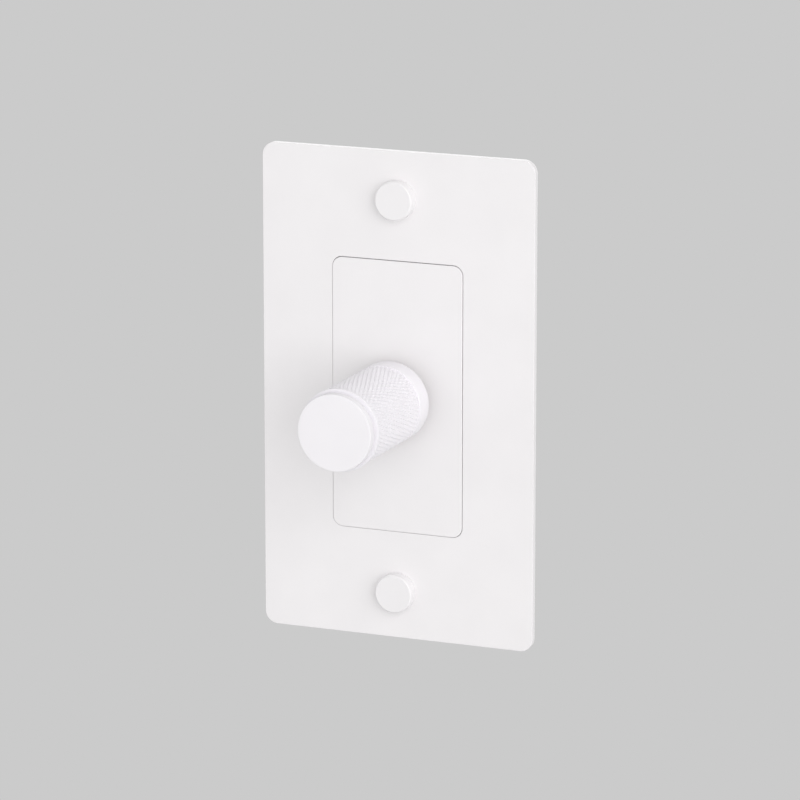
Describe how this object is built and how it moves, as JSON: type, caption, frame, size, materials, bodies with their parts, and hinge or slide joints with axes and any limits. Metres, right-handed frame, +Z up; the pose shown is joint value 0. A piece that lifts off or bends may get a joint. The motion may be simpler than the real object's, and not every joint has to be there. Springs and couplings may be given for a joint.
{
  "type": "rotary dimmer switch",
  "caption": "One-gang wall plate with an insert panel and a long cross-knurled knob that turns to dim and pushes to switch, with its strap, rear housing and electronics.",
  "frame": {"origin": "centre of the wall plate outline, on the wall plane (the back of the plate rim)", "axes": "+X right as seen from the room, +Y into the wall, +Z up; the knob stands out along -Y"},
  "size_m": [0.07, 0.0766, 0.12],
  "materials": {
    "plate_paint": "satin white powder coat, very fine texture",
    "panel_paint": "satin white powder coat, very fine texture",
    "screw_paint": "satin white powder coat",
    "knob_paint": "satin white powder coat over a cross knurl",
    "cap_paint": "satin white powder coat, flat",
    "hub_nylon": "natural nylon, moulded",
    "black_steel": "black oxide steel",
    "shaft_steel": "ground and plated steel",
    "spring_steel": "bright spring steel",
    "bushing_brass": "turned brass, threaded",
    "nut_nickel": "nickel plate",
    "pot_case_plastic": "moulded black",
    "wafer_phenolic": "brown phenolic laminate",
    "carbon": "printed carbon track",
    "tinned_pins": "tin plate",
    "rotor_plastic": "moulded white acetal",
    "spring_bronze": "phosphor bronze strip",
    "switch_plastic": "moulded black",
    "plunger_nylon": "moulded orange acetal",
    "strap_steel": "zinc-plated pressed steel",
    "housing_plastic": "moulded black, fine spark texture",
    "zinc_steel": "bright zinc plate",
    "green_steel": "green passivated steel",
    "board_laminate": "green solder mask on glass laminate",
    "epoxy_black": "moulded epoxy",
    "tinned_tab": "tinned copper tab",
    "pad_silicone": "grey silicone pad",
    "ferrite": "coated ferrite",
    "copper_enamel": "enamelled copper wire",
    "film_cap_box": "yellow moulded box",
    "timing_cap_box": "red moulded box",
    "resistor_body": "lacquered body",
    "diode_glass": "amber glass",
    "fuse_ceramic": "white ceramic tube",
    "terminal_brass": "nickel-free brass"
  },
  "bodies": {
    "root": {"wall_plate": "plate_paint", "plate_screws": "screw_paint", "insert_panel": "panel_paint", "insert_screws": "zinc_steel", "bushing": "bushing_brass", "bushing_washer": "spring_steel", "bushing_nut": "nut_nickel", "pot_case": "pot_case_plastic", "pot_wafer": "wafer_phenolic", "pot_track": "carbon", "pot_pins": "tinned_pins", "switch_case": "switch_plastic", "switch_spring": "spring_steel", "switch_contacts": "tinned_pins", "mounting_strap": "strap_steel", "rear_housing": "housing_plastic", "housing_screws": "zinc_steel", "ground_screw": "green_steel", "circuit_board": "board_laminate", "triac_body": "epoxy_black", "triac_tab": "tinned_tab", "triac_leads": "tinned_pins", "triac_pad": "pad_silicone", "triac_screw": "zinc_steel", "choke_core": "ferrite", "choke_winding": "copper_enamel", "film_capacitor": "film_cap_box", "timing_capacitor": "timing_cap_box", "resistors": "resistor_body", "diac": "diode_glass", "fuse": "fuse_ceramic", "terminal_cages": "terminal_brass", "terminal_screws": "zinc_steel"},
    "rotor": {"pot_rotor": "rotor_plastic", "pot_wiper": "spring_bronze"},
    "knob": {"knob_body": "knob_paint", "knob_cap": "cap_paint", "knob_hub": "hub_nylon", "knob_grub_screw": "black_steel", "control_shaft": "shaft_steel", "shaft_clip": "spring_steel"},
    "plunger": {"switch_plunger": "plunger_nylon"},
    "lever": {"switch_lever": "spring_bronze"}
  },
  "joints": [
    {"name": "knob_turn", "type": "hinge", "parent": "root", "child": "rotor", "pos_m": [0, 0.0068, 0], "axis": [0, 1, 0], "range_deg": [0, 300]},
    {"name": "knob_push", "type": "slide", "parent": "rotor", "child": "knob", "axis": [0, 1, 0], "range_m": [0, 0.0015], "stiffness_N_per_m": 1500, "springref_m": -0.001},
    {"name": "plunger_slide", "type": "slide", "parent": "root", "child": "plunger", "axis": [0, 1, 0], "range_m": [0, 0.0015], "deforming": ["switch_spring"]},
    {"name": "lever_tilt", "type": "hinge", "parent": "root", "child": "lever", "pos_m": [0, 0.01515, -0.0086], "axis": [-1, 0, 0], "range_deg": [0, 20]}
  ],
  "couplings": [
    {"joint": "plunger_slide", "follows": "knob_push", "ratio": 1},
    {"joint": "lever_tilt", "follows": "knob_push", "rad_per_m": 232.7}
  ]
}
